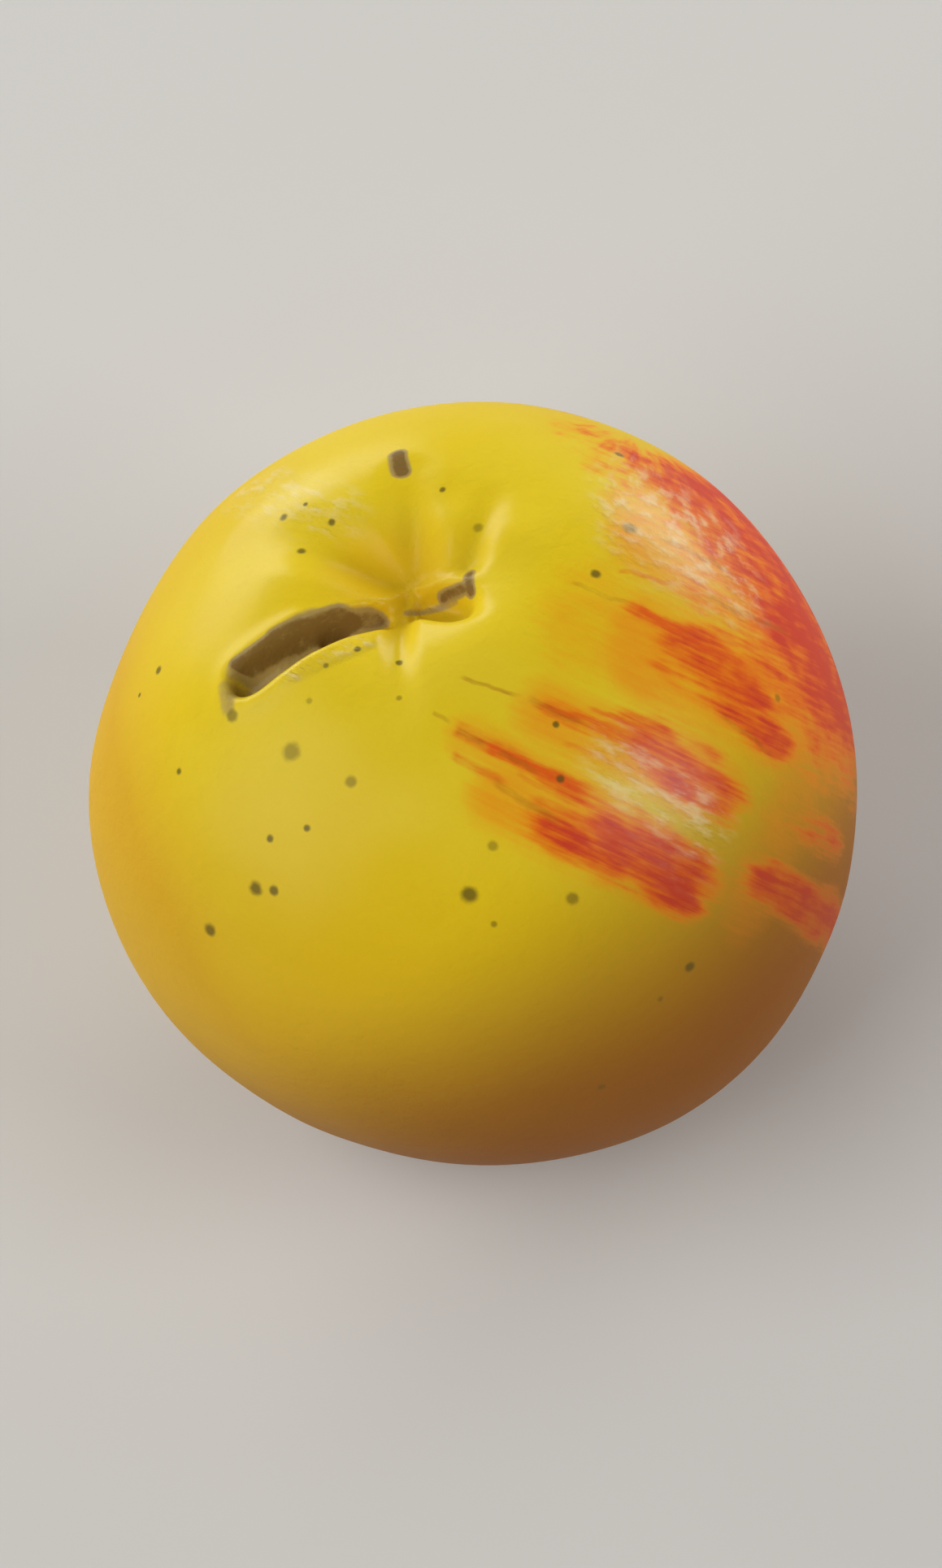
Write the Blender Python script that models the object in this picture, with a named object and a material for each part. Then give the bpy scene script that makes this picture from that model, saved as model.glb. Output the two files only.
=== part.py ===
"""A marzipan apple: one solid of almond paste, rolled by hand, with a star tool pressed into its top.

Metres, +Z up. The origin is at the centre of the underside, where the apple rests on its flat spot.
"""

import math
from typing import NamedTuple

import bmesh
import bpy
from mathutils import Vector, noise

MM = 0.001

# The rolled ball of paste
HALF_WIDTH = 17.0 * MM
HALF_HEIGHT = 15.5 * MM
FULLNESS = 2.19  # 2 is an ellipse, more is squarer at the shoulder
FLAT_DEPTH = 0.6 * MM  # how far the ball is squashed where it rests
FLAT_EDGE = 0.2 * MM  # the rounding at the edge of the flat spot

# The unevenness of hand rolling: (wavelength, height), fading out towards the flat spot
DENTS = ((13.0 * MM, 0.34 * MM), (5.5 * MM, 0.09 * MM))
DENT_FADE = 5.0 * MM

# Where fingers pushed the ball in or let it swell out: direction from its middle, and height
SQUEEZES = (
    ((-0.73, 0.58, 0.37), -0.38 * MM),
    ((-0.99, -0.12, -0.08), 0.42 * MM),
    ((0.37, -0.78, -0.51), 0.30 * MM),
)
SQUEEZE_SPREAD = math.radians(28)

# The hollow that the star tool leaves round the stem
DIMPLE_AT = Vector((-0.8 * MM, 2.3 * MM))
DIMPLE_DEPTH = 1.9 * MM
DIMPLE_SPREAD = 4.2 * MM
JOIN_POWER = 4  # how the grooves run into each other at the pit: more is sharper

# The mesh: rings lie close together in the cap that carries the star, and further apart below it
SEGMENTS = 120
CAP_RINGS = 25
BODY_RINGS = 22
CAP_ANGLE = math.radians(42)


class Groove(NamedTuple):
    """One groove of the star, in millimetres seen from above, each pair from its start to its end."""

    start: tuple
    end: tuple
    half_widths: tuple
    depths: tuple
    floor: float = 0.0  # the flat share of its width
    lip: float = 0.0  # how high the paste is pushed up beside it


class Swell(NamedTuple):
    """A soft lobe between two grooves, in millimetres seen from above."""

    at: tuple
    radius: float
    height: float


GROOVES = (
    Groove(start=(-0.5, 2.9), end=(0.2, 7.7), half_widths=(1.6, 1.3), depths=(0.8, 0.35)),
    Groove(start=(-1.3, 2.9), end=(-6.6, 6.6), half_widths=(1.7, 2.1), depths=(1.0, 0.3)),
    Groove(start=(-1.5, 0.7), end=(-4.3, 0.35), half_widths=(0.8, 0.8), depths=(1.0, 1.2), floor=0.4),
    Groove(
        start=(-4.3, 0.35), end=(-8.6, -0.9), half_widths=(0.8, 0.85), depths=(1.2, 1.2), floor=0.4, lip=0.22
    ),
    Groove(start=(-1.6, 0.6), end=(-2.35, -5.0), half_widths=(0.9, 1.0), depths=(0.9, 0.12)),
    Groove(start=(-1.0, 1.5), end=(0.85, 0.1), half_widths=(1.0, 1.2), depths=(1.0, 1.35), floor=0.3),
    Groove(start=(1.9, 2.2), end=(3.5, 5.2), half_widths=(1.0, 0.9), depths=(0.6, 0.12)),
)
SWELLS = (
    Swell(at=(-5.8, 3.4), radius=2.4, height=0.30),
    Swell(at=(0.6, -2.8), radius=2.2, height=0.42),
    Swell(at=(3.9, 2.6), radius=1.5, height=0.32),
    Swell(at=(1.5, 4.2), radius=1.2, height=0.25),
)

PASTE_COLOUR = (0.72, 0.52, 0.03, 1.0)
PASTE_ROUGHNESS = 0.42


def clear_scene():
    """Removes whatever the startup scene holds."""
    for old in list(bpy.data.objects):
        bpy.data.objects.remove(old)


def smooth_step(low, high, value):
    """0 below low, 1 above high, and an even slope between them."""
    share = min(1.0, max(0.0, (value - low) / (high - low)))
    return share * share * (3 - 2 * share)


def ring_angle(ring):
    """The angle from the top at which a ring of the mesh lies."""
    if ring <= CAP_RINGS:
        return CAP_ANGLE * ring / CAP_RINGS
    return CAP_ANGLE + (math.pi - CAP_ANGLE) * (ring - CAP_RINGS) / BODY_RINGS


def ball_point(angle, heading):
    """A point of the smooth ball, from its middle. The rings of the cap close in on the dimple."""
    out = HALF_WIDTH * abs(math.sin(angle)) ** (2 / FULLNESS)
    spot = Vector((out * math.cos(heading), out * math.sin(heading)))
    spot += DIMPLE_AT * (1 - smooth_step(0, CAP_ANGLE, angle))
    reach = min(1.0, spot.length / HALF_WIDTH)
    height = HALF_HEIGHT * (1 - reach**FULLNESS) ** (1 / FULLNESS)
    return Vector((spot.x, spot.y, math.copysign(height, math.cos(angle))))


def squeezed(point):
    """How far fingers moved the paste outwards at a point of the ball."""
    total = 0.0
    for direction, height in SQUEEZES:
        turn = point.angle(Vector(direction)) / SQUEEZE_SPREAD
        total += height * math.exp(-turn * turn)
    return total


def rolled(point):
    """The point moved in or out by the dents of hand rolling and by the fingers."""
    height = sum(noise.noise(point / wavelength) * depth for wavelength, depth in DENTS)
    height += squeezed(point)
    fade = smooth_step(FLAT_DEPTH + FLAT_EDGE, DENT_FADE, point.z + HALF_HEIGHT)
    return point + point.normalized() * height * fade


def groove_marks(groove, spot):
    """How deep one groove presses at a spot seen from above, and how high it raises a lip there."""
    start = Vector(groove.start) * MM
    run = Vector(groove.end) * MM - start
    share = min(1.0, max(0.0, (spot - start).dot(run) / run.length_squared))
    half_width = groove.half_widths[0] * (1 - share) + groove.half_widths[1] * share
    side = (spot - start - run * share).length / (half_width * MM)
    depth = groove.depths[0] * (1 - share) + groove.depths[1] * share
    lip = groove.lip * math.exp(-(((side - 1.5) / 0.5) ** 2)) * smooth_step(0.1, 0.4, share)
    return depth * MM * (1 - smooth_step(groove.floor, 1.2, side)), lip * MM


def swelling(spot):
    """How high the lobes stand at a spot seen from above."""
    total = 0.0
    for swell in SWELLS:
        side = (spot - Vector(swell.at) * MM).length / (swell.radius * MM)
        total += swell.height * MM * math.exp(-side * side)
    return total


def pressed(point):
    """The point pushed down by the dimple and by the grooves of the star, which run into each other."""
    if point.z < 0:
        return point
    spot = point.xy
    marks = [groove_marks(groove, spot) for groove in GROOVES]
    groove = sum(mark[0] ** JOIN_POWER for mark in marks) ** (1 / JOIN_POWER)
    lip = max(mark[1] for mark in marks)
    dimple = DIMPLE_DEPTH * math.exp(-(((spot - DIMPLE_AT).length / DIMPLE_SPREAD) ** 2))
    return point - Vector((0, 0, dimple + groove - lip - swelling(spot)))


def stood(point):
    """The point raised so that the ball stands on z = 0, with its underside pressed flat."""
    height = point.z + HALF_HEIGHT - FLAT_DEPTH
    if height < FLAT_EDGE:
        height = max(0.0, height + FLAT_EDGE) ** 2 / (4 * FLAT_EDGE)
    return Vector((point.x, point.y, height))


def centre_on_base(mesh):
    """Moves the mesh sideways so that its box is centred on the origin."""
    for axis in (0, 1):
        places = [vertex.co[axis] for vertex in mesh.verts]
        middle = (min(places) + max(places)) / 2
        for vertex in mesh.verts:
            vertex.co[axis] -= middle


def build_apple():
    """The apple's mesh: a sphere whose rings are placed anew, then rolled, pressed and stood."""
    rings = CAP_RINGS + BODY_RINGS
    mesh = bmesh.new()
    bmesh.ops.create_uvsphere(mesh, u_segments=SEGMENTS, v_segments=rings, radius=1.0)
    for vertex in mesh.verts:
        ring = round(rings * math.acos(max(-1.0, min(1.0, vertex.co.z))) / math.pi)
        heading = math.atan2(vertex.co.y, vertex.co.x)
        vertex.co = stood(pressed(rolled(ball_point(ring_angle(ring), heading))))
    centre_on_base(mesh)
    bmesh.ops.triangulate(mesh, faces=mesh.faces, quad_method="SHORT_EDGE")
    return mesh


def paste_material():
    """The yellow paste, with the low sheen of its glaze."""
    material = bpy.data.materials.new("marzipan")
    material.use_nodes = True
    shader = material.node_tree.nodes["Principled BSDF"]
    shader.inputs["Base Color"].default_value = PASTE_COLOUR
    shader.inputs["Roughness"].default_value = PASTE_ROUGHNESS
    shader.inputs["Metallic"].default_value = 0.0
    return material


def main():
    """Builds the one solid in a collection of its own."""
    clear_scene()
    collection = bpy.data.collections.new("marzipan_fruit")
    bpy.context.scene.collection.children.link(collection)
    data = bpy.data.meshes.new("marzipan_apple")
    mesh = build_apple()
    mesh.to_mesh(data)
    mesh.free()
    data.shade_smooth()
    data.materials.append(paste_material())
    collection.objects.link(bpy.data.objects.new("marzipan_apple", data))


main()
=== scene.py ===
"""The looks of a marzipan apple: yellow almond paste, brown specks and dry red brush strokes.

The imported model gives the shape. Marks are placed by where the photograph shows them: each pixel is cast
from the photograph's viewpoint onto the apple, so that a mark lies on the paste from any side.
"""

import functools
import logging
import math
from dataclasses import dataclass
from enum import Enum

import bmesh
import bpy
import numpy as np
from mathutils import Matrix, Vector
from mathutils.bvhtree import BVHTree


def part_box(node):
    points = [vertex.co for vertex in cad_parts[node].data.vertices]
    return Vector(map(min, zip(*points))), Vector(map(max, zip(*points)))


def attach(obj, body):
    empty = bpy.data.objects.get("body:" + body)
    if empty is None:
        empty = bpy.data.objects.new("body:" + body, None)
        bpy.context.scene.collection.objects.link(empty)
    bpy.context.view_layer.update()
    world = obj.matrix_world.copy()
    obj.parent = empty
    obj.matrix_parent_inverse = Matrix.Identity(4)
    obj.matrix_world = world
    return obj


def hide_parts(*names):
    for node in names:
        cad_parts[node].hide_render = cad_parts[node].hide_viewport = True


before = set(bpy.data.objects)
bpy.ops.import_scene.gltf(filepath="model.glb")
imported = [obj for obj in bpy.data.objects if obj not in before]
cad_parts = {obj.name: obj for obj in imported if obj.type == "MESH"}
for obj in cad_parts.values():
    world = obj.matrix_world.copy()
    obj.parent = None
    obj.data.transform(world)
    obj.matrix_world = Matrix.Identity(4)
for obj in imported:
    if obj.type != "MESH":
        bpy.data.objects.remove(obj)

MM = 0.001
NODE = "marzipan_apple"
BODY = "root"

Pixel = tuple[float, float]
Colour = tuple[float, float, float]
Place = tuple[float, float, float]
Span = tuple[float, float]

log = logging.getLogger("marzipan_apple")


class Paint(Enum):
    """The paints that a brush leaves on the paste, by the mesh attribute that holds each one's load."""

    RED = "red_load"
    BROWN = "brown_load"
    WASH = "orange_wash"
    # the thick glaze, which also carries a pale painted highlight
    GLAZE = "thick_glaze_and_glint"


@dataclass(frozen=True)
class Dab:
    """One touch of the brush, from a start to an end pixel of the photograph.

    Its half width is in pixels, and its load runs from 0, dry, to 1, full. Its ends fade out as far
    as its sides do, times the feather.
    """

    paint: Paint
    start: Pixel
    end: Pixel
    half_width: float
    load: float
    feather: float = 1.0


def red(start: Pixel, end: Pixel, half_width: float, load: float, feather: float = 1.7) -> Dab:
    """A stroke of the nearly dry red brush, whose ends feather out."""
    return Dab(Paint.RED, start, end, half_width, load, feather)


@dataclass(frozen=True)
class Hair:
    """One fine line of the brush, from a start to an end pixel of the photograph.

    Its half width is in pixels, and its strength runs from 0 to 1. Dark lines are brown, others scarlet.
    """

    start: Pixel
    end: Pixel
    half_width: float
    strength: float
    dark: bool = False


# The start and the end of a hair, each along and across the strokes, and the hair itself
HairLine = tuple[np.ndarray, np.ndarray, Hair]


@dataclass(frozen=True)
class Press:
    """A second, sharper push of the tool into a groove, in millimetres seen from above."""

    start: tuple[float, float]
    end: tuple[float, float]
    half_width: float
    depth: float


@dataclass(frozen=True)
class Speck:
    """A brown speck at a pixel of the photograph, with its width in pixels and how dark it is."""

    at: Pixel
    width: float
    strength: float = 1.0


# A speck's place on the apple, its radius in metres and its strength
SpeckSpot = tuple[Vector, float, float]


@dataclass(frozen=True)
class Softbox:
    """A soft studio light, placed so that the apple mirrors it at a pixel of the photograph.

    Its distance from the apple and its size are in metres, and its power is in watts.
    """

    name: str
    glint: Pixel
    distance: float
    size: float
    power: float


@dataclass(frozen=True)
class Grain:
    """Cloudy noise, whose lumps have a size in metres.

    Its detail and roughness say how much finer noise lies on the lumps. Along the brush strokes it can
    be drawn out: at 0.1, its lumps are ten times as long as they are wide. Its swing is how much
    it counts where it goes up and down from 0.
    """

    size: float
    detail: float = 2.0
    roughness: float = 0.5
    along: float = 1.0
    swing: float = 1.0


@dataclass(frozen=True)
class PaintCoat:
    """A coat of paint: the span of cover over which it comes in, how much it hides, and its colour."""

    span: Span
    share: float
    colour: Colour


def smooth(share: np.ndarray) -> np.ndarray:
    """Eases both ends of a straight rise from 0 to 1."""
    return share * share * (3 - 2 * share)


def rise(value: np.ndarray, low: float, high: float) -> np.ndarray:
    """A straight rise from 0 where a value is low to 1 where it is high."""
    return np.clip((value - low) / (high - low), 0, 1)


def gap_to_run(away: np.ndarray, run: np.ndarray) -> np.ndarray:
    """How far points are from a straight run.

    Args:
        away: The way from the run's start to a point, in each row.
        run: The way from the run's start to its end, one for all points or one in each row.

    Returns:
        A distance for each point.
    """
    share = np.clip((away * run).sum(axis=-1) / (run * run).sum(axis=-1), 0, 1)
    return np.linalg.norm(away - share[:, None] * run, axis=-1)


# The strokes run from the middle of the top towards the lower right
RED_DABS = (
    # the upper band: it ends in an orange-red patch
    red((690, 1171), (706, 1180), 3.0, 0.60),
    red((711, 1186), (727, 1199), 8.0, 0.86),
    red((717, 1199), (738, 1216), 6.4, 0.84),
    red((700, 1190), (716, 1203), 4.4, 0.50),
    red((714, 1167), (744, 1183), 6.0, 0.50),
    red((703, 1136), (724, 1150), 8.0, 0.50),
    # the far edge, where the brush turned over the side
    red((706, 1119), (724, 1134), 5.0, 0.90),
    red((724, 1134), (742, 1158), 15.0, 1.00, feather=1.4),
    red((737, 1152), (758, 1196), 26.0, 1.00, feather=2.2),
    red((746, 1188), (758, 1214), 16.0, 0.62, feather=2.2),
    # the middle band: a broken stretch and a broad soft patch
    red((662, 1206), (690, 1216), 3.6, 0.62),
    red((697, 1218), (715, 1233), 8.0, 0.84),
    red((690, 1210), (714, 1221), 4.6, 0.62),
    # the lower band runs into the deepest red
    red((642, 1219), (660, 1228), 2.2, 0.72),
    red((660, 1229), (684, 1240), 3.2, 0.68),
    red((664, 1246), (682, 1257), 6.6, 0.76),
    red((687, 1250), (704, 1260), 9.0, 1.00),
    red((694, 1262), (706, 1270), 5.2, 0.88),
    # the last bands, low on the side
    red((737, 1265), (757, 1279), 8.0, 0.90, feather=2.0),
    red((748, 1245), (758, 1251), 5.0, 0.64, feather=2.0),
)

# Fine hairs of the brush, which lead into the strokes
HAIRS = (
    Hair((667, 1161.5), (690, 1170), 0.7, 0.62, dark=True),
    Hair((683, 1157), (706, 1163), 0.8, 0.75),
    Hair((689, 1170), (712, 1180), 1.2, 0.85),
    Hair((694, 1173), (722, 1188), 0.9, 0.75),
    Hair((712, 1166), (744, 1180), 0.9, 0.52, dark=True),
    Hair((629, 1194), (652, 1201), 0.7, 0.80, dark=True),
    Hair((652, 1201), (676, 1212), 1.2, 0.52, dark=True),
    Hair((654, 1203), (690, 1213), 1.0, 0.75),
    Hair((672, 1204), (700, 1214), 0.9, 0.60),
    Hair((620, 1206), (627, 1210), 0.7, 0.50, dark=True),
    Hair((627, 1211), (648, 1221), 2.3, 1.00),
    Hair((628, 1212), (640, 1217.5), 1.0, 0.70, dark=True),
    Hair((642, 1219), (658, 1227), 1.0, 0.62, dark=True),
    Hair((642, 1218), (686, 1239), 2.2, 0.90),
    Hair((626, 1220), (648, 1232), 1.5, 0.95),
    Hair((640, 1229), (666, 1245), 1.3, 0.70, dark=True),
    Hair((652, 1234), (690, 1252), 1.7, 0.80),
    Hair((648, 1226), (672, 1239), 0.9, 0.60),
    Hair((664, 1216), (690, 1226), 0.9, 0.55),
    Hair((680, 1261), (700, 1272), 1.0, 0.62),
    Hair((700, 1128), (722, 1138), 0.8, 0.70),
    Hair((704, 1135), (728, 1148), 0.9, 0.62),
    Hair((698, 1146), (726, 1160), 0.9, 0.52, dark=True),
    Hair((712, 1190), (744, 1214), 1.0, 0.60),
    Hair((718, 1206), (738, 1222), 0.9, 0.45, dark=True),
)

WASH_DABS = (
    Dab(Paint.WASH, (694, 1184), (742, 1206), 17.0, 0.86),
    Dab(Paint.WASH, (676, 1176), (716, 1192), 18.0, 0.52),
    Dab(Paint.WASH, (696, 1146), (730, 1166), 16.0, 0.74),
    Dab(Paint.WASH, (660, 1207), (718, 1232), 11.0, 0.74),
    Dab(Paint.WASH, (632, 1214), (686, 1241), 7.0, 0.62),
    Dab(Paint.WASH, (646, 1234), (708, 1264), 12.0, 0.76),
    Dab(Paint.WASH, (702, 1118), (724, 1134), 8.0, 0.80),
    Dab(Paint.WASH, (724, 1134), (756, 1200), 26.0, 1.00),
    Dab(Paint.WASH, (748, 1204), (730, 1270), 14.0, 0.50),
)

# Brown paint lies in the long slot, on the far wall of the short notch and in one spot at the back; its
# darkest brown along the slot's upper edge is painted shadow
BROWN_DABS = (
    Dab(Paint.BROWN, (602, 1174.5), (588, 1177), 2.8, 0.78),
    Dab(Paint.BROWN, (588, 1179), (572, 1188), 4.6, 0.72),
    Dab(Paint.BROWN, (572, 1188), (560, 1195), 4.0, 0.66),
    # full loads, which turn dark brown: painted shadow under the slot's upper edge
    Dab(Paint.BROWN, (592, 1174), (571, 1182), 3.2, 1.00),
    Dab(Paint.BROWN, (571, 1182), (555, 1190.5), 2.4, 1.00),
    Dab(Paint.BROWN, (552, 1198), (550.5, 1204), 3.2, 0.46),
    Dab(Paint.BROWN, (624, 1167), (632, 1163), 2.0, 0.90),
    Dab(Paint.BROWN, (633, 1159), (633.5, 1165), 1.8, 1.00),
    Dab(Paint.BROWN, (612, 1172), (628, 1168), 1.4, 0.50),
    Dab(Paint.BROWN, (608.5, 1118), (610, 1124), 2.2, 1.00),
)

# Where the glaze lies thick and dried to a crinkle, and where a pale painted highlight lies in streaks on
# it
GLAZE_AND_GLINT_DABS = (
    Dab(Paint.GLAZE, (692, 1138), (720, 1156), 14.0, 1.00),
    Dab(Paint.GLAZE, (684, 1224), (712, 1244), 10.0, 0.90),
    Dab(Paint.GLAZE, (560, 1129), (584, 1138), 9.0, 0.70),
    Dab(Paint.GLAZE, (571, 1193), (598, 1181.5), 2.6, 1.00),
    Dab(Paint.GLAZE, (680, 1244), (710, 1262), 7.0, 0.12),
)

# Where the tool left steep walls: the long slot and the short notch
PRESSES = (
    Press((-2.3, 0.6), (-4.3, 0.35), 0.60, 0.36),
    Press((-4.3, 0.35), (-8.4, -0.8), 0.66, 0.42),
    Press((0.1, 0.7), (0.9, 0.15), 0.95, 0.32),
)

SPECKS = (
    Speck((623.8, 1130), 3.0),
    Speck((577, 1135), 2.2),
    Speck((569.7, 1139.3), 4.0),
    Speck((586, 1141), 3.4),
    Speck((575.7, 1151), 4.0),
    Speck((636, 1143), 4.5, 0.6),
    Speck((527, 1191.5), 4.0),
    Speck((520.5, 1200), 2.2),
    Speck((534, 1226), 3.2),
    Speck((578.4, 1202), 3.0, 0.5),
    Speck((572.2, 1219.2), 8.5, 0.66),
    Speck((592.5, 1229.6), 5.2, 0.66),
    Speck((565, 1249), 3.5),
    Speck((577.6, 1245.3), 3.2),
    Speck((560.2, 1266), 6.5),
    Speck((566.4, 1266.6), 4.5),
    Speck((544.5, 1280), 6.0),
    Speck((641, 1251.4), 4.5, 0.6),
    Speck((633, 1268), 7.5),
    Speck((668, 1269.4), 5.8, 0.74),
    Speck((641.4, 1278), 3.0, 0.7),
    Speck((662.5, 1210), 3.0),
    Speck((664, 1228.4), 3.6),
    Speck((687.6, 1143), 6.6, 0.8),
    Speck((676, 1158.6), 4.6),
    Speck((708, 1292.6), 5.0),
    Speck((698, 1303.6), 3.0, 0.6),
    Speck((678, 1333.6), 4.0, 0.6),
    Speck((684, 1118), 4.0),
    Speck((594.8, 1184.3), 3.2),
    Speck((609, 1189), 3.2),
    Speck((609, 1201), 2.6, 0.6),
    Speck((584, 1190), 2.6, 0.8),
    Speck((738, 1201), 3.6, 0.6),
    Speck((552, 1207), 6.0, 0.8),
)

SOFTBOXES = (
    Softbox("back_left", (566, 1134), 0.50, 0.40, 2.40),
    Softbox("back_right", (704, 1146), 0.50, 0.28, 1.40),
    Softbox("front_right", (697, 1232), 0.55, 0.28, 1.25),
    Softbox("front_left", (575, 1240), 0.60, 0.60, 2.80),
)


@dataclass(frozen=True)
class Viewpoint:
    """Where the photograph was taken from, and where the apple lies in it.

    The camera looks along +Y and down, and is turned clockwise about its own axis.
    """

    frame_height: int = 1929  # in pixels
    elevation: float = math.radians(57)
    roll: float = math.radians(13.5)
    distance: float = 400 * MM
    apple_pixel: Pixel = (633.5, 1230.3)
    pixels_per_mm: float = 7.64
    enlargement: float = 3.61  # how much larger the render shows the apple than the photograph does
    sensor: float = 36.0  # in millimetres
    clip_start: float = 10 * MM
    stroke_slope: float = math.atan2(0.42, 0.90)  # how steeply the strokes run down to the right

    @property
    def back(self) -> Vector:
        """The direction from the apple to the camera."""
        return Vector((0, -math.cos(self.elevation), math.sin(self.elevation)))

    @property
    def level_right(self) -> Vector:
        """The picture's right before the camera is turned about its own axis."""
        return Vector((1, 0, 0))

    @property
    def level_up(self) -> Vector:
        """The picture's up before the camera is turned about its own axis."""
        return self.back.cross(self.level_right)

    @property
    def right(self) -> Vector:
        """The picture's right."""
        return self.level_right * math.cos(self.roll) - self.level_up * math.sin(self.roll)

    @property
    def up(self) -> Vector:
        """The picture's up."""
        return self.level_right * math.sin(self.roll) + self.level_up * math.cos(self.roll)

    def ray(self, pixel: Pixel, target: Vector) -> tuple[Vector, Vector]:
        """The line of sight through a pixel of the photograph.

        Args:
            pixel: Column and row in the photograph.
            target: The middle of the apple's body.

        Returns:
            The camera's place, and the direction of the line of sight.
        """
        across = (pixel[0] - self.apple_pixel[0]) / self.pixels_per_mm * MM
        down = (pixel[1] - self.apple_pixel[1]) / self.pixels_per_mm * MM
        eye = target + self.back * self.distance
        return eye, (target + self.right * across - self.up * down - eye).normalized()

    def build_camera(self, target: Vector) -> None:
        """Makes the scene's camera.

        Args:
            target: The middle of the apple's body.
        """
        data = bpy.data.cameras.new("camera")
        focal_pixels = self.pixels_per_mm * self.enlargement * self.distance / MM
        data.sensor_width = self.sensor
        data.lens = focal_pixels / self.frame_height * self.sensor
        data.clip_start = self.clip_start
        camera = bpy.data.objects.new("camera", data)
        axes = Matrix((self.right, self.up, self.back)).transposed()
        camera.matrix_world = Matrix.Translation(target + self.back * self.distance) @ axes.to_4x4()
        bpy.context.scene.collection.objects.link(camera)
        bpy.context.scene.camera = camera


@dataclass(frozen=True)
class BrushGrid:
    """Coordinates that follow the brush strokes round the apple: along them, and across them."""

    centre: Vector
    along_axis: Vector
    across_axis: Vector
    facing_axis: Vector
    radius: float

    @classmethod
    def of_view(cls, view: Viewpoint, centre: Vector, radius: float) -> "BrushGrid":
        """The grid whose strokes run as the photograph shows them.

        Args:
            view: Where the photograph was taken from.
            centre: The middle of the apple's body.
            radius: The apple's radius, which turns an angle round it into a length.

        Returns:
            The grid.
        """
        cosine, sine = math.cos(view.stroke_slope), math.sin(view.stroke_slope)
        along = view.right * cosine - view.up * sine
        across = view.right * sine + view.up * cosine
        return cls(centre, along, across, view.back, radius)

    def place(self, points: np.ndarray) -> np.ndarray:
        """Turns points of the surface into the grid's coordinates.

        Args:
            points: One point in metres in each row.

        Returns:
            Along and across the strokes, in metres, in each row.
        """
        local = points - np.array(self.centre)
        angle = np.arctan2(local @ np.array(self.along_axis), local @ np.array(self.facing_axis))
        return np.stack([angle * self.radius, local @ np.array(self.across_axis)], axis=1)

    def narrowing(self, points: np.ndarray) -> np.ndarray:
        """How much shorter the way along the strokes is than at the widest place of the body.

        Args:
            points: One point in metres in each row.

        Returns:
            A share for each point: 1 at the widest place, and 0 where the strokes would meet.
        """
        local = points - np.array(self.centre)
        return np.hypot(local @ np.array(self.along_axis), local @ np.array(self.facing_axis)) / self.radius

    def facing(self, points: np.ndarray) -> np.ndarray:
        """How far points of the surface face the photograph's camera.

        Args:
            points: One point in metres in each row.

        Returns:
            A share for each point: 1 at the front, 0 at the rim, and less behind it.
        """
        return (points - np.array(self.centre)) @ np.array(self.facing_axis) / self.radius


class Value:
    """A number that varies over the surface: a shader socket that takes part in sums."""

    def __init__(self, shader: "ShaderTree", socket: bpy.types.NodeSocket) -> None:
        """Wraps one output socket of a shader's tree."""
        self.shader = shader
        self.socket = socket

    def _math(self, operation: str, *others: "Value | float") -> "Value":
        """Adds a Math node on this value and others."""
        return self.shader.add("ShaderNodeMath", {"operation": operation}, dict(enumerate((self, *others))))

    def __add__(self, other: "Value | float") -> "Value":
        """This plus the other."""
        return self._math("ADD", other)

    def __radd__(self, other: float) -> "Value":
        """The other plus this."""
        return self._math("ADD", other)

    def __sub__(self, other: "Value | float") -> "Value":
        """This less the other."""
        return self._math("SUBTRACT", other)

    def __rsub__(self, other: float) -> "Value":
        """The other less this."""
        return (self * -1) + other

    def __mul__(self, other: "Value | float") -> "Value":
        """This times the other."""
        return self._math("MULTIPLY", other)

    def __rmul__(self, other: float) -> "Value":
        """The other times this."""
        return self._math("MULTIPLY", other)

    def __truediv__(self, other: "Value | float") -> "Value":
        """This over the other."""
        return self._math("DIVIDE", other)

    def lower(self, other: "Value | float") -> "Value":
        """The lower of the two."""
        return self._math("MINIMUM", other)

    def higher(self, other: "Value | float") -> "Value":
        """The higher of the two."""
        return self._math("MAXIMUM", other)

    def size(self) -> "Value":
        """This without its sign."""
        return self._math("ABSOLUTE")

    def angle_from(self, other: "Value") -> "Value":
        """The angle whose tangent is this over the other."""
        return self._math("ARCTAN2", other)

    def ramp(self, low: float, high: float) -> "Value":
        """A smooth rise from 0 where this is low to 1 where it is high."""
        settings = {"interpolation_type": "SMOOTHSTEP"}
        return self.shader.add("ShaderNodeMapRange", settings, {0: self, 1: low, 2: high})


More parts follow.
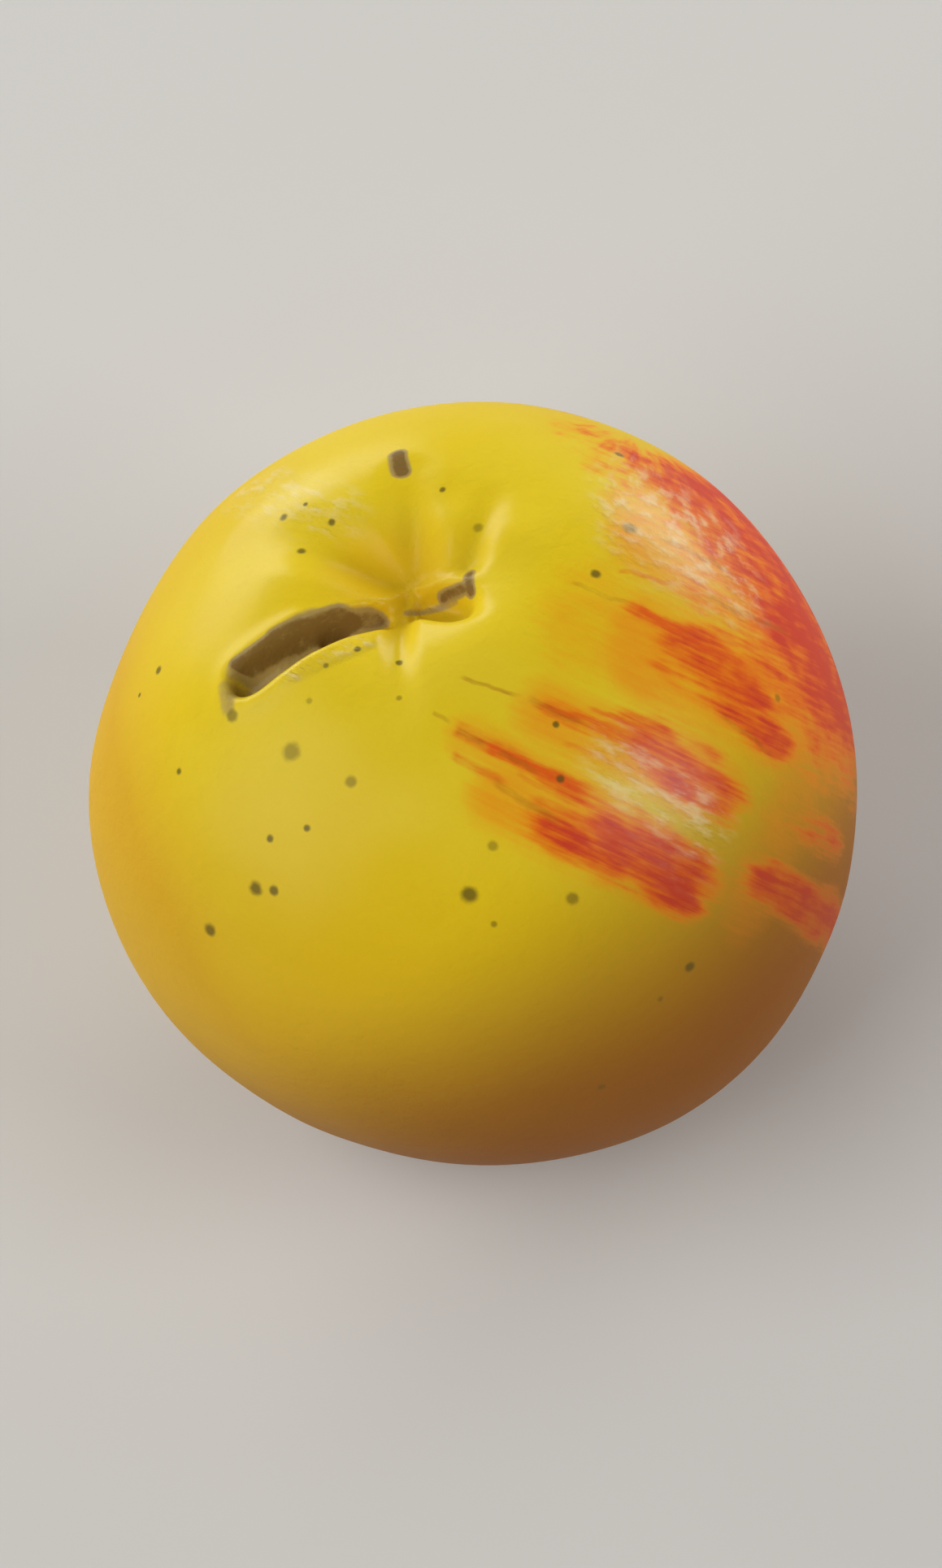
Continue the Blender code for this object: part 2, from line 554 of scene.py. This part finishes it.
class ShaderTree:
    """A material whose nodes are added by expressions."""

    def __init__(self, name: str) -> None:
        """Starts a material with a bare Principled shader.

        Args:
            name: The material's name.
        """
        self.material = bpy.data.materials.new(name)
        self.material.use_nodes = True
        self.tree = self.material.node_tree
        self.principled = self.tree.nodes["Principled BSDF"]

    def _feed(self, socket: bpy.types.NodeSocket, source: "Value | float | Colour") -> None:
        """Links a value into a socket, or sets it there.

        Args:
            socket: The input socket.
            source: What it gets.
        """
        if isinstance(source, Value):
            self.tree.links.new(source.socket, socket)
        elif isinstance(source, tuple) and socket.type == "RGBA":
            socket.default_value = (*source, 1.0)
        else:
            socket.default_value = source

    def add(self, kind: str, settings: dict, inputs: dict, output: int | str = 0) -> Value:
        """Adds one node.

        Args:
            kind: The node's type.
            settings: Its own properties, which are set before its sockets.
            inputs: What each input socket gets, by its name or number.
            output: The output socket that is wanted.

        Returns:
            The output as a value.
        """
        node = self.tree.nodes.new(kind)
        for key, setting in settings.items():
            setattr(node, key, setting)
        for key, source in inputs.items():
            self._feed(node.inputs[key], source)
        return Value(self, node.outputs[output])

    def mix(self, share: Value, low: "Value | Colour", high: "Value | Colour") -> Value:
        """A colour between two others."""
        return self.add("ShaderNodeMix", {"data_type": "RGBA"}, {0: share, 6: low, 7: high}, 2)

    def noise(self, at: Value, grain: Grain) -> Value:
        """Cloudy noise, which runs from about 0.3 to 0.7."""
        inputs = {"Scale": 1 / grain.size, "Detail": grain.detail, "Roughness": grain.roughness}
        return self.add("ShaderNodeTexNoise", {"noise_dimensions": "3D"}, {"Vector": at, **inputs})

    def swing(self, at: Value, grain: Grain) -> Value:
        """Cloudy noise that goes up and down from 0."""
        return (self.noise(at, grain) - 0.5) * grain.swing

    def attribute(self, name: str) -> Value:
        """A number that is kept at each point of the mesh."""
        return self.add("ShaderNodeAttribute", {"attribute_name": name}, {}, "Fac")

    def place(self) -> Value:
        """The point of the surface, in metres, in the frame of the apple."""
        return self.add("ShaderNodeTexCoord", {}, {}, "Object")

    def dot(self, at: Value, axis: Vector) -> Value:
        """How far a place lies along an axis."""
        inputs = {0: at, 1: tuple(axis)}
        return self.add("ShaderNodeVectorMath", {"operation": "DOT_PRODUCT"}, inputs, "Value")

    def shifted(self, at: Value, by: Vector) -> Value:
        """A place moved by a fixed amount."""
        return self.add("ShaderNodeVectorMath", {"operation": "ADD"}, {0: at, 1: tuple(by)})

    def distance(self, at: Value, point: Vector) -> Value:
        """How far a place is from a fixed point."""
        inputs = {0: at, 1: tuple(point)}
        return self.add("ShaderNodeVectorMath", {"operation": "DISTANCE"}, inputs, "Value")

    def combine(self, x: Value, y: Value) -> Value:
        """A vector of two values, with nothing on its third axis."""
        return self.add("ShaderNodeCombineXYZ", {}, {0: x, 1: y})

    def bump(self, height: Value, depth: float, under: Value | None = None) -> Value:
        """A surface normal that follows a height.

        Args:
            height: How high the surface stands, from 0 to 1.
            depth: How many metres a height of 1 is.
            under: The normal that this one is added to, if there is one.

        Returns:
            The normal.
        """
        inputs = {"Height": height, "Distance": depth, "Strength": 1.0}
        if under is not None:
            inputs["Normal"] = under
        return self.add("ShaderNodeBump", {}, inputs)

    def set(self, **sockets: "Value | float | Colour") -> None:
        """Feeds the Principled shader, each socket named with _ for a space."""
        for name, source in sockets.items():
            self._feed(self.principled.inputs[name.replace("_", " ")], source)


@dataclass(frozen=True)
class PasteFinish:
    """The colours and sheen of glazed almond paste.

    Colours are linear. A span is where a value starts to show, and where it shows in full.
    """

    pixels_per_mm: float  # of the photograph, in which the widths of the hairs are given

    # The paste: yellow with pale clouds and ochre, which low down is partly painted shade, in the pit is
    # painted shade and on the left side is painted warm reflected light; a painted shade of dark
    # orange-brown lies low in front
    yellow: Colour = (0.80, 0.585, 0.010)
    pale: Colour = (0.84, 0.66, 0.040)
    ochre: Colour = (0.68, 0.38, 0.008)
    # The dark orange-brown of a painted shade, low down in front
    painted_shade_colour: Colour = (0.23, 0.052, 0.005)
    pale_clouds: Grain = Grain(9 * MM)
    pale_span: Span = (0.38, 0.66)
    pale_share: float = 0.5
    warm_clouds: Grain = Grain(14 * MM)
    warm_clouds_shift: Place = (0.3, 0.1, 0.2)  # so that they don't repeat the pale clouds
    warm_span: Span = (0.42, 0.70)
    warm_share: float = 0.16
    # Ochre low down: partly the paste's own tone, partly painted shade
    height_span: Span = (12 * MM, 31 * MM)
    height_swing: float = 4 * MM  # how far the warm clouds raise and lower it
    low_ochre_and_shade_share: float = 1.02
    # Ochre in the pit: painted shade and warm reflected light in the hollow
    pit: Place = (-1.3 * MM, 2.4 * MM, 27.6 * MM)
    pit_shade_span: Span = (1.2 * MM, 4.6 * MM)
    pit_shade_share: float = 0.45
    # Ochre on the left side: painted warm reflected light
    left_reflection_span: Span = (11 * MM, 18 * MM)
    left_reflection_share: float = 0.90
    # Where the painted shade lies: low down in front, broken by clouds, both under the strokes and over
    # them
    painted_shade_towards: Place = (0.35, -0.45, -0.82)
    painted_shade_clouds: Grain = Grain(14 * MM, swing=0.3)
    painted_shade_span: Span = (-0.22, 0.72)
    painted_shade_under: float = 0.75  # below the brush strokes
    painted_shade_over: float = 0.50  # on top of them

    # The brush strokes: a wash, three coats where ever more paint lies, and single hairs
    orange: Colour = (0.86, 0.27, 0.008)
    scarlet: Colour = (0.78, 0.105, 0.009)
    crimson: Colour = (0.62, 0.042, 0.020)
    hair_brown: Colour = (0.42, 0.130, 0.008)
    brush_grains: tuple[Grain, ...] = (
        Grain(0.24 * MM, roughness=0.55, along=0.06, swing=1.6),
        Grain(0.80 * MM, 3.0, 0.6, along=0.30, swing=1.7),
        Grain(2.2 * MM, along=0.6, swing=1.6),
    )
    load_gain: float = 1.16  # how much a stroke's load counts towards its cover
    grain_gain: float = 0.62  # and how much the grain does
    loaded_span: Span = (0.02, 0.20)  # of the load, so that grain alone shows no paint
    wash_grain: float = 0.26
    wash_span: Span = (0.05, 1.05)
    washed_span: Span = (0.0, 0.30)  # of the wash, for the same reason
    wash_share: float = 0.80
    stroke_coats: tuple[PaintCoat, ...] = (
        PaintCoat((0.10, 0.80), 0.66, orange),
        PaintCoat((0.44, 1.06), 0.88, scarlet),
        PaintCoat((0.84, 1.30), 0.92, crimson),
    )
    wobble: Grain = Grain(1.6 * MM, swing=0.5 * MM)
    wobble_slant: float = 0.1  # of the line along which the wobble is read
    hair_grain: float = 0.9  # how much the grain breaks the hairs up
    hair_cover: float = 0.75  # how much of them shows where the grain is even
    hair_share: float = 0.80
    hair_start: Span = (0.0, 0.12)  # of its length
    hair_end: Span = (0.70, 1.0)
    hair_edge: Span = (0.4, 1.5)  # of its half width

    # The brown paint in the slot and the notch, dark where it lies thickest; along the slot's upper edge
    # that dark is painted shadow
    brown: Colour = (0.38, 0.26, 0.095)
    dark_brown_and_shadow: Colour = (0.185, 0.098, 0.036)
    stain_grain: Grain = Grain(0.7 * MM, 4.0, 0.65, swing=0.8)
    stain_span: Span = (0.16, 0.62)
    dark_and_shadow_stain_span: Span = (0.66, 0.96)
    stain_share: float = 0.92

    # The specks, and like ones scattered where the photograph doesn't reach
    olive: Colour = (0.125, 0.085, 0.010)
    speck_edge: Grain = Grain(0.55 * MM, roughness=0.6, swing=1.1)
    speck_raggedness: float = 0.5
    speck_span: Span = (-0.05, 0.60)
    speck_share: float = 0.84
    scattered_gap: float = 4.6 * MM
    scattered_sharpness: float = 8.5
    scattered_span: Span = (0.0, 0.5)
    hidden_span: Span = (2 * MM, -1 * MM)  # from just before the rim to just behind it

    # The glaze, which dried to streaks where it lay thick, with a pale painted highlight in those streaks
    painted_glint_colour: Colour = (0.86, 0.72, 0.42)
    streak_grain: Grain = Grain(0.55 * MM, 3.0, 0.6, along=0.30)
    painted_glint_span: Span = (0.45, 0.70)
    painted_glint_share: float = 0.52
    roughness: float = 0.42
    roughness_grain: Grain = Grain(2.4 * MM, 4.0, 0.6, swing=0.22)
    thick_smoothness: float = 0.08
    coat_weight: float = 0.32
    thick_coat_weight: float = 0.20
    coat_roughness: float = 0.31
    specular_level: float = 0.0  # the coat alone shines
    subsurface_weight: float = 0.14
    subsurface_radius: Colour = (1.0, 0.55, 0.12)
    subsurface_scale: float = 0.8 * MM

    # The relief, each kind with the depth of its bumps
    hand_marks: Grain = Grain(2.2 * MM)
    hand_depth: float = 0.12 * MM
    crinkles: Grain = Grain(0.75 * MM, 3.0, 0.55, swing=4.0)
    crinkle_depth: float = 0.026 * MM
    streak_depth: float = 0.42 * MM
    sugar_grains: Grain = Grain(0.30 * MM, 3.0, 0.6)
    sugar_depth: float = 0.012 * MM

    def build(
        self, grid: BrushGrid, hair_lines: list[HairLine], speck_spots: list[SpeckSpot]
    ) -> bpy.types.Material:
        """Makes the material.

        Args:
            grid: The coordinates that the brush strokes follow.
            hair_lines: The fine hairs, with their ends in those coordinates.
            speck_spots: The place, radius and strength of each speck.

        Returns:
            The material.
        """
        shader = ShaderTree("glazed_paste")
        at = shader.place()
        from_middle = shader.shifted(at, -grid.centre)
        facing = shader.dot(from_middle, grid.facing_axis)
        along = shader.dot(from_middle, grid.along_axis).angle_from(facing) * grid.radius
        across = shader.dot(from_middle, grid.across_axis)
        painted_shade = self._painted_shade(shader, at, from_middle, grid.radius)
        colour = self._paste(shader, at)
        # painted shade: the paste darkens to orange-brown low down in front
        colour = shader.mix(painted_shade * self.painted_shade_under, colour, self.painted_shade_colour)
        colour = self._brushed(shader, along, across, hair_lines, colour)
        # painted shade again, laid over the strokes
        colour = shader.mix(painted_shade * self.painted_shade_over, colour, self.painted_shade_colour)
        colour = self._stained(shader, at, colour)
        colour = self._specked(shader, at, facing, speck_spots, colour)
        streaks = shader.noise(self._drawn_out(along, across, self.streak_grain), self.streak_grain)
        glaze = shader.attribute(Paint.GLAZE.value)
        # painted highlight: pale streaks where the glaze lies thick
        dried = streaks.ramp(*self.painted_glint_span) * glaze * self.painted_glint_share
        roughness = shader.swing(at, self.roughness_grain) + self.roughness
        shader.set(
            Base_Color=shader.mix(dried, colour, self.painted_glint_colour),
            Roughness=roughness - glaze * self.thick_smoothness,
            Coat_Weight=glaze * self.thick_coat_weight + self.coat_weight,
            Coat_Roughness=self.coat_roughness,
            Specular_IOR_Level=self.specular_level,
            Subsurface_Weight=self.subsurface_weight,
            Subsurface_Radius=self.subsurface_radius,
            Subsurface_Scale=self.subsurface_scale,
            Normal=self._relief(shader, at, streaks * glaze),
        )
        return shader.material

    def _paste(self, shader: ShaderTree, at: Value) -> Value:
        """The paste before the strokes and the painted shade: yellow with pale clouds, and ochre in places,
        which is partly the paste's own tone and partly painted shade and painted reflected light.

        Args:
            shader: The material that gets the nodes.
            at: The place on the surface.

        Returns:
            The paste's colour.
        """
        pale = shader.noise(at, self.pale_clouds).ramp(*self.pale_span)
        warm_at = shader.shifted(at, Vector(self.warm_clouds_shift))
        warm = shader.noise(warm_at, self.warm_clouds).ramp(*self.warm_span)
        height = shader.dot(at, Vector((0, 0, 1))) + (warm - 0.5) * self.height_swing
        # darker ochre towards the bottom, partly painted shade
        low = 1 - height.ramp(*self.height_span)
        # painted shade and warm reflected light in the pit
        pit = 1 - shader.distance(at, self.pit).ramp(*self.pit_shade_span)
        # painted warm reflected light on the left side
        left = shader.dot(at, Vector((-1, 0, 0))).ramp(*self.left_reflection_span)
        ochre = warm * self.warm_share + low * self.low_ochre_and_shade_share
        ochre = ochre + pit * self.pit_shade_share + left * self.left_reflection_share
        colour = shader.mix(pale * self.pale_share, self.yellow, self.pale)
        return shader.mix(ochre.lower(1.0), colour, self.ochre)

    def _painted_shade(self, shader: ShaderTree, at: Value, from_middle: Value, radius: float) -> Value:
        """How far painted shade darkens the surface: most of all low down in front.

        Args:
            shader: The material that gets the nodes.
            at: The place on the surface.
            from_middle: The same place, from the middle of the body.
            radius: The body's radius.

        Returns:
            A share from 0 to 1.
        """
        uneven = shader.swing(shader.shifted(at, Vector(self.warm_clouds_shift)), self.painted_shade_clouds)
        towards = shader.dot(from_middle, Vector(self.painted_shade_towards)) / radius
        return (towards + uneven).ramp(*self.painted_shade_span)

    def _drawn_out(self, along: Value, across: Value, grain: Grain) -> Value:
        """The place at which a grain is read so that it is drawn out along the strokes."""
        return along.shader.combine(along * grain.along, across)

    def _brushed(
        self, shader: ShaderTree, along: Value, across: Value, hair_lines: list[HairLine], colour: Value
    ) -> Value:
        """The orange wash and the red strokes, broken into hairs along the brush's path.

        Args:
            shader: The material that gets the nodes.
            along: How far along the strokes.
            across: How far across the strokes.
            hair_lines: The fine hairs, with their ends in those coordinates.
            colour: What the strokes lie on.

        Returns:
            The colour with the strokes.
        """
        grains = [shader.swing(self._drawn_out(along, across, kind), kind) for kind in self.brush_grains]
        grain = functools.reduce(Value.__add__, grains)
        wash = shader.attribute(Paint.WASH.value)
        wash = (wash + grain * self.wash_grain).ramp(*self.wash_span) * wash.ramp(*self.washed_span)
        colour = shader.mix(wash * self.wash_share, colour, self.orange)
        load = shader.attribute(Paint.RED.value)
        cover = load * self.load_gain + grain * self.grain_gain
        loaded = load.ramp(*self.loaded_span)
        for coat in self.stroke_coats:
            colour = shader.mix(cover.ramp(*coat.span) * loaded * coat.share, colour, coat.colour)
        wobbly = across + shader.swing(shader.combine(along, along * self.wobble_slant), self.wobble)
        broken = grain * self.hair_grain + self.hair_cover
        for dark, paint in ((False, self.scarlet), (True, self.hair_brown)):
            lines = [self._line(along, wobbly, *line) for line in hair_lines if line[2].dark is dark]
            marks = functools.reduce(Value.higher, lines) * broken
            colour = shader.mix(marks.lower(1.0).higher(0.0) * self.hair_share, colour, paint)
        return colour

    def _line(
        self, along: Value, across: Value, start: np.ndarray, end: np.ndarray, hair: Hair
    ) -> Value:
        """How strongly one hair marks the paste.

        Args:
            along: How far along the strokes.
            across: How far across the strokes.
            start: Where the hair starts, in the same two coordinates.
            end: Where it ends.
            hair: The hair.

        Returns:
            Its mark, from 0 to its strength.
        """
        share = (along - float(start[0])) / float(end[0] - start[0])
        offset = (across - (share * float(end[1] - start[1]) + float(start[1]))).size()
        half_width = hair.half_width / self.pixels_per_mm * MM
        ends = share.ramp(*self.hair_start) * (1 - share.ramp(*self.hair_end))
        return (1 - (offset / half_width).ramp(*self.hair_edge)) * ends * hair.strength

    def _stained(self, shader: ShaderTree, at: Value, colour: Value) -> Value:
        """The brown paint in the slot and the notch, dark where it lies thickest; along the slot's upper
        edge that dark brown is painted shadow.

        Args:
            shader: The material that gets the nodes.
            at: The place on the surface.
            colour: What the paint lies on.

        Returns:
            The colour with the brown paint.
        """
        load = shader.attribute(Paint.BROWN.value)
        load = load + shader.swing(at, self.stain_grain) * load
        # dark brown where the paint lies thickest: along the slot's upper edge this is painted shadow
        brown = shader.mix(load.ramp(*self.dark_and_shadow_stain_span), self.brown, self.dark_brown_and_shadow)
        return shader.mix(load.ramp(*self.stain_span) * self.stain_share, colour, brown)

    def _specked(
        self, shader: ShaderTree, at: Value, facing: Value, speck_spots: list[SpeckSpot], colour: Value
    ) -> Value:
        """The specks: each one that the photograph shows, and like ones on the sides it doesn't show.

        Args:
            shader: The material that gets the nodes.
            at: The place on the surface.
            facing: How far the place lies towards the photograph's camera, from the middle of the body.
            speck_spots: The place, radius and strength of each speck that the photograph shows.
            colour: What the specks lie on.

        Returns:
            The colour with the specks.
        """
        ragged = shader.swing(at, self.speck_edge)
        marks = []
        for place, radius, strength in speck_spots:
            spot = 1 - shader.distance(at, place) / radius
            marks.append((spot + ragged * self.speck_raggedness).ramp(*self.speck_span) * strength)
        inputs = {"Vector": at, "Scale": 1 / self.scattered_gap}
        cells = shader.add("ShaderNodeTexVoronoi", {}, inputs, "Distance")
        scattered = (1 - cells * self.scattered_sharpness + ragged).ramp(*self.scattered_span)
        marks.append(scattered * facing.ramp(*self.hidden_span))
        return shader.mix(functools.reduce(Value.higher, marks) * self.speck_share, colour, self.olive)

    def _relief(self, shader: ShaderTree, at: Value, streaks: Value) -> Value:
        """The marks of the hand, the crinkle that the glaze dried to, and grains of sugar.

        Args:
            shader: The material that gets the nodes.
            at: The place on the surface.
            streaks: The streaks in which the thick glaze dried.

        Returns:
            The surface normal.
        """
        normal = shader.bump(shader.noise(at, self.hand_marks), self.hand_depth)
        normal = shader.bump(shader.swing(at, self.crinkles).size(), self.crinkle_depth, normal)
        normal = shader.bump(streaks, self.streak_depth, normal)
        return shader.bump(shader.noise(at, self.sugar_grains), self.sugar_depth, normal)


@dataclass
class MarzipanApple:
    """The apple itself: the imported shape, made finer, with its paints."""

    view: Viewpoint
    middle_height: float = 14.9 * MM  # of the body's middle, over what it stands on
    subdivisions: int = 2
    merge_distance: float = 1e-6
    quad_face_angle: float = math.radians(60)
    quad_shape_angle: float = math.radians(80)
    star_at: tuple[float, float] = (-2.5 * MM, 2.0 * MM)
    star_span: Span = (11 * MM, 5.5 * MM)  # where the smoothing starts and where it is full
    star_smoothing: float = 0.5
    star_rounds: int = 10
    least_weight: float = 0.01  # with less, a point isn't smoothed at all
    press_span: Span = (1.25, 0.75)  # in half widths of the press: its walls' top and foot
    dab_span: Span = (1.8, 0.4)  # in half widths of the dab: where its paint starts and is full
    behind_span: Span = (-0.605, -0.055)  # in radii, towards the camera: paint fades out behind the rim
    narrow_span: Span = (0.09, 0.26)  # and where the strokes would all meet
    body: bpy.types.Object | None = None

    @property
    def centre(self) -> Vector:
        """The middle of the apple's body: where the photograph's outline is centred."""
        low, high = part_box(NODE)
        return Vector(((low.x + high.x) / 2, (low.y + high.y) / 2, self.middle_height))

    @property
    def radius(self) -> float:
        """Half of the apple's width."""
        low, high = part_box(NODE)
        return (high.x - low.x) / 2

    def build(self) -> None:
        """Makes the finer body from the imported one, and paints it."""
        self.body = self._copy_of_node()
        self._refine()
        tree = self.surface()
        grid = BrushGrid.of_view(self.view, self.centre, self.radius)
        for dabs in (RED_DABS, WASH_DABS, BROWN_DABS, GLAZE_AND_GLINT_DABS):
            self._brush(dabs[0].paint, dabs, grid, tree)
        finish = PasteFinish(self.view.pixels_per_mm)
        hair_lines = [(*self._ends_on(tree, grid, hair), hair) for hair in HAIRS]
        speck_spots = [self._speck_on(tree, speck) for speck in SPECKS]
        self.body.data.materials.clear()
        self.body.data.materials.append(finish.build(grid, hair_lines, speck_spots))
        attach(self.body, BODY)
        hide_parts(NODE)
        log.info("%s: %d faces, %d specks", self.body.name, len(self.body.data.polygons), len(SPECKS))

    def _copy_of_node(self) -> bpy.types.Object:
        """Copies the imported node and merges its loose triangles.

        Returns:
            The copy.
        """
        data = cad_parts[NODE].data.copy()
        data.name = "apple_body"
        mesh = bmesh.new()
        mesh.from_mesh(data)
        bmesh.ops.remove_doubles(mesh, verts=mesh.verts, dist=self.merge_distance)
        mesh.to_mesh(data)
        mesh.free()
        body = bpy.data.objects.new("apple_body", data)
        bpy.context.scene.collection.objects.link(body)
        return body

    def _refine(self) -> None:
        """Turns the triangles back into quads and rounds them with a subdivision surface."""
        bpy.ops.object.select_all(action="DESELECT")
        self.body.select_set(True)
        bpy.context.view_layer.objects.active = self.body
        bpy.ops.object.mode_set(mode="EDIT")
        bpy.ops.mesh.select_all(action="SELECT")
        bpy.ops.mesh.tris_convert_to_quads(
            face_threshold=self.quad_face_angle, shape_threshold=self.quad_shape_angle
        )
        bpy.ops.object.mode_set(mode="OBJECT")
        finer = self.body.modifiers.new("finer", "SUBSURF")
        finer.levels = self.subdivisions
        finer.render_levels = self.subdivisions
        bpy.ops.object.modifier_apply(modifier=finer.name)
        self._smooth_star()
        self._press_again()
        bpy.ops.object.shade_smooth()

    def _points(self) -> np.ndarray:
        """Reads the body's points.

        Returns:
            One point in metres in each row.
        """
        points = np.empty(len(self.body.data.vertices) * 3)
        self.body.data.vertices.foreach_get("co", points)
        return points.reshape(-1, 3)

    def _smooth_star(self) -> None:
        """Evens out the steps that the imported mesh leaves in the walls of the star."""
        group = self.body.vertex_groups.new(name="star")
        points = self._points()
        away = np.hypot(points[:, 0] - self.star_at[0], points[:, 1] - self.star_at[1])
        share = rise(away, *self.star_span) * (points[:, 2] > self.centre.z)
        for index in np.flatnonzero(share > self.least_weight):
            group.add([int(index)], float(share[index]), "REPLACE")
        smoother = self.body.modifiers.new("even_walls", "SMOOTH")
        smoother.factor = self.star_smoothing
        smoother.iterations = self.star_rounds
        smoother.vertex_group = group.name
        bpy.ops.object.modifier_apply(modifier=smoother.name)

    def _press_again(self) -> None:
        """Gives the slot and the notch the steep walls and the flat floor of a second push."""
        points = self._points()
        for press in PRESSES:
            start, end = np.array(press.start) * MM, np.array(press.end) * MM
            gap = gap_to_run(points[:, :2] - start, end - start) / (press.half_width * MM)
            down = press.depth * MM * smooth(rise(gap, *self.press_span))
            points[:, 2] -= down * (points[:, 2] > self.centre.z)
        self.body.data.vertices.foreach_set("co", points.ravel())
        self.body.data.update()

    def surface(self) -> BVHTree:
        """The body's surface, ready for lines of sight to be cast onto it."""
        return BVHTree.FromObject(self.body, bpy.context.evaluated_depsgraph_get())

    def hit(self, tree: BVHTree, pixel: Pixel) -> tuple[Vector, Vector]:
        """Where the photograph's line of sight through a pixel meets the apple.

        Args:
            tree: The apple's surface.
            pixel: Column and row in the photograph.

        Returns:
            The point on the surface, and the surface's normal there. A line of sight that just misses
            the apple gives the nearest point of its rim.
        """
        eye, sight = self.view.ray(pixel, self.centre)
        place, normal, _, _ = tree.ray_cast(eye, sight)
        if place is None:
            passing = eye + sight * (self.centre - eye).dot(sight)
            place, normal, _, _ = tree.find_nearest(passing)
        return place, normal

    def _ends_on(self, tree: BVHTree, grid: BrushGrid, mark: Dab | Hair) -> np.ndarray:
        """The start and the end of a dab or a hair in the grid's coordinates, in two rows."""
        return grid.place(np.array([self.hit(tree, pixel)[0] for pixel in (mark.start, mark.end)]))

    def _speck_on(self, tree: BVHTree, speck: Speck) -> SpeckSpot:
        """The place, radius and strength of a speck."""
        place, _ = self.hit(tree, speck.at)
        return place, speck.width / 2 / self.view.pixels_per_mm * MM, speck.strength

    def _brush(self, paint: Paint, dabs: tuple[Dab, ...], grid: BrushGrid, tree: BVHTree) -> None:
        """Keeps at each point of the mesh how much of a paint the dabs leave there.

        Args:
            paint: The paint.
            dabs: Its dabs.
            grid: The coordinates that the strokes follow.
            tree: The apple's surface.
        """
        points = self._points()
        spots, narrowing = grid.place(points), grid.narrowing(points)
        load = np.zeros(len(spots))
        for dab in dabs:
            start, end = self._ends_on(tree, grid, dab)
            scale = np.stack([narrowing / dab.feather, np.ones(len(spots))], axis=1)
            half_width = dab.half_width / self.view.pixels_per_mm * MM
            gap = gap_to_run((spots - start) * scale, (end - start) * scale) / half_width
            load = np.maximum(load, dab.load * smooth(rise(gap, *self.dab_span)))
        load *= rise(grid.facing(points), *self.behind_span) * rise(narrowing, *self.narrow_span)
        layer = self.body.data.attributes.new(paint.value, "FLOAT", "POINT")
        layer.data.foreach_set("value", load.astype(np.float32))


@dataclass(frozen=True)
class Studio:
    """The pale floor and the soft lights round the apple."""

    floor_size: float = 4.0
    floor_colour: Colour = (0.68, 0.66, 0.62)
    floor_roughness: float = 0.7
    world_colour: Colour = (0.94, 0.96, 1.0)
    world_strength: float = 0.16
    view_transform: str = "Standard"  # keeps the paste's own colours, which a film-like view would fade

    def build(self, apple: MarzipanApple) -> None:
        """Makes the floor, the lights and the air round them.

        Args:
            apple: The apple that the lights are set for.
        """
        self._floor()
        tree = apple.surface()
        for softbox in SOFTBOXES:
            self._light(softbox, apple, tree)
        world = bpy.data.worlds.new("studio_air")
        world.use_nodes = True
        background = world.node_tree.nodes["Background"]
        background.inputs["Color"].default_value = (*self.world_colour, 1.0)
        background.inputs["Strength"].default_value = self.world_strength
        bpy.context.scene.world = world
        bpy.context.scene.view_settings.view_transform = self.view_transform

    def _floor(self) -> None:
        """A plain pale floor."""
        bpy.ops.object.select_all(action="DESELECT")
        bpy.ops.mesh.primitive_plane_add(size=self.floor_size)
        floor = bpy.context.active_object
        floor.name = "floor"
        shader = ShaderTree("pale_floor")
        shader.set(Base_Color=self.floor_colour, Roughness=self.floor_roughness)
        floor.data.materials.append(shader.material)

    def _light(self, softbox: Softbox, apple: MarzipanApple, tree: BVHTree) -> None:
        """Hangs a softbox where the apple mirrors it towards the camera at the softbox's pixel.

        Args:
            softbox: The light.
            apple: The apple, whose viewpoint gives the line of sight.
            tree: The apple's surface.
        """
        place, normal = apple.hit(tree, softbox.glint)
        back = apple.view.back
        towards = (2 * normal.dot(back) * normal - back).normalized()
        data = bpy.data.lights.new(softbox.name, "AREA")
        data.shape = "SQUARE"
        data.size = softbox.size
        data.energy = softbox.power
        light = bpy.data.objects.new(softbox.name, data)
        light.location = place + towards * softbox.distance
        light.rotation_euler = towards.to_track_quat("Z", "Y").to_euler()
        bpy.context.scene.collection.objects.link(light)
        log.info("%s: towards %s", softbox.name, [round(axis, 2) for axis in towards])


def main() -> None:
    """Builds the apple, its studio and the camera."""
    logging.basicConfig(level=logging.INFO, format="%(name)s: %(message)s")
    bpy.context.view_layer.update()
    view = Viewpoint()
    apple = MarzipanApple(view)
    apple.build()
    Studio().build(apple)
    view.build_camera(apple.centre)


if __name__ == "__main__":
    main()
